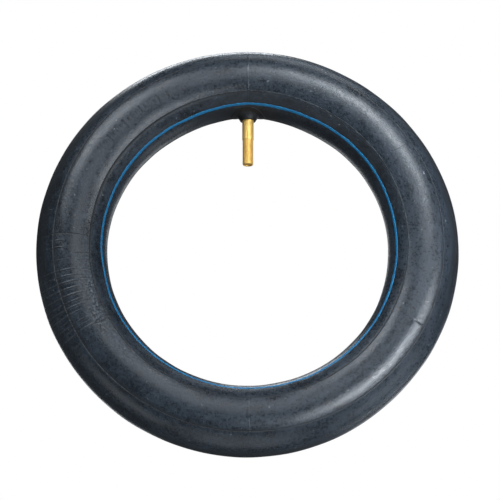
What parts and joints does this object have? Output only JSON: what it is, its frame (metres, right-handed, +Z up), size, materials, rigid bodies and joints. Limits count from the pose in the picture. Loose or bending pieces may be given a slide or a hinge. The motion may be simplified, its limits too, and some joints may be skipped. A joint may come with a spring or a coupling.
{
  "type": "inner tube",
  "caption": "Blown-up rubber inner tube for a small bicycle wheel, with a straight threaded brass valve and a working valve core.",
  "frame": {"origin": "centre of the ring, on the wheel's axis, halfway through its thickness", "axes": "+Y along the wheel's axis, +Z up through the valve, which stands at the top of the ring and points down at the centre; the coloured line is on the -Y side"},
  "size_m": [0.3, 0.05, 0.3],
  "materials": {
    "butyl_rubber": "matte, dusted with talc",
    "blue_line": "matte",
    "stem_brass": "bright, machined",
    "core_brass": "machined",
    "gasket_rubber": "matte",
    "spring_steel": "drawn wire"
  },
  "bodies": {
    "root": {"rubber_tube": "butyl_rubber", "colour_stripe": "blue_line", "valve_base": "butyl_rubber", "valve_stem": "stem_brass"},
    "core_barrel": {"core_barrel": "core_brass", "barrel_gasket": "gasket_rubber", "pin_spring": "spring_steel"},
    "core_plug": {"core_plug": "core_brass"},
    "core_pin": {"core_pin": "core_brass", "spring_collar": "core_brass", "seal_cup": "core_brass", "cup_gasket": "gasket_rubber"}
  },
  "joints": [
    {"name": "core_lift", "type": "slide", "parent": "root", "child": "core_barrel", "axis": [0, 0, -1], "range_m": [0, 0.00494]},
    {"name": "plug_turn", "type": "hinge", "parent": "core_barrel", "child": "core_plug", "pos_m": [0, 0, 0.0676], "axis": [0, 0, -1], "range_deg": [0, 2520]},
    {"name": "pin_press", "type": "slide", "parent": "core_barrel", "child": "core_pin", "axis": [0, 0, 1], "range_m": [0, 0.0018], "stiffness_N_per_m": 1500, "springref_m": -0.0005, "deforming": ["pin_spring"]}
  ],
  "couplings": [
    {"joint": "plug_turn", "follows": "core_lift", "rad_per_m": 8905.3}
  ]
}
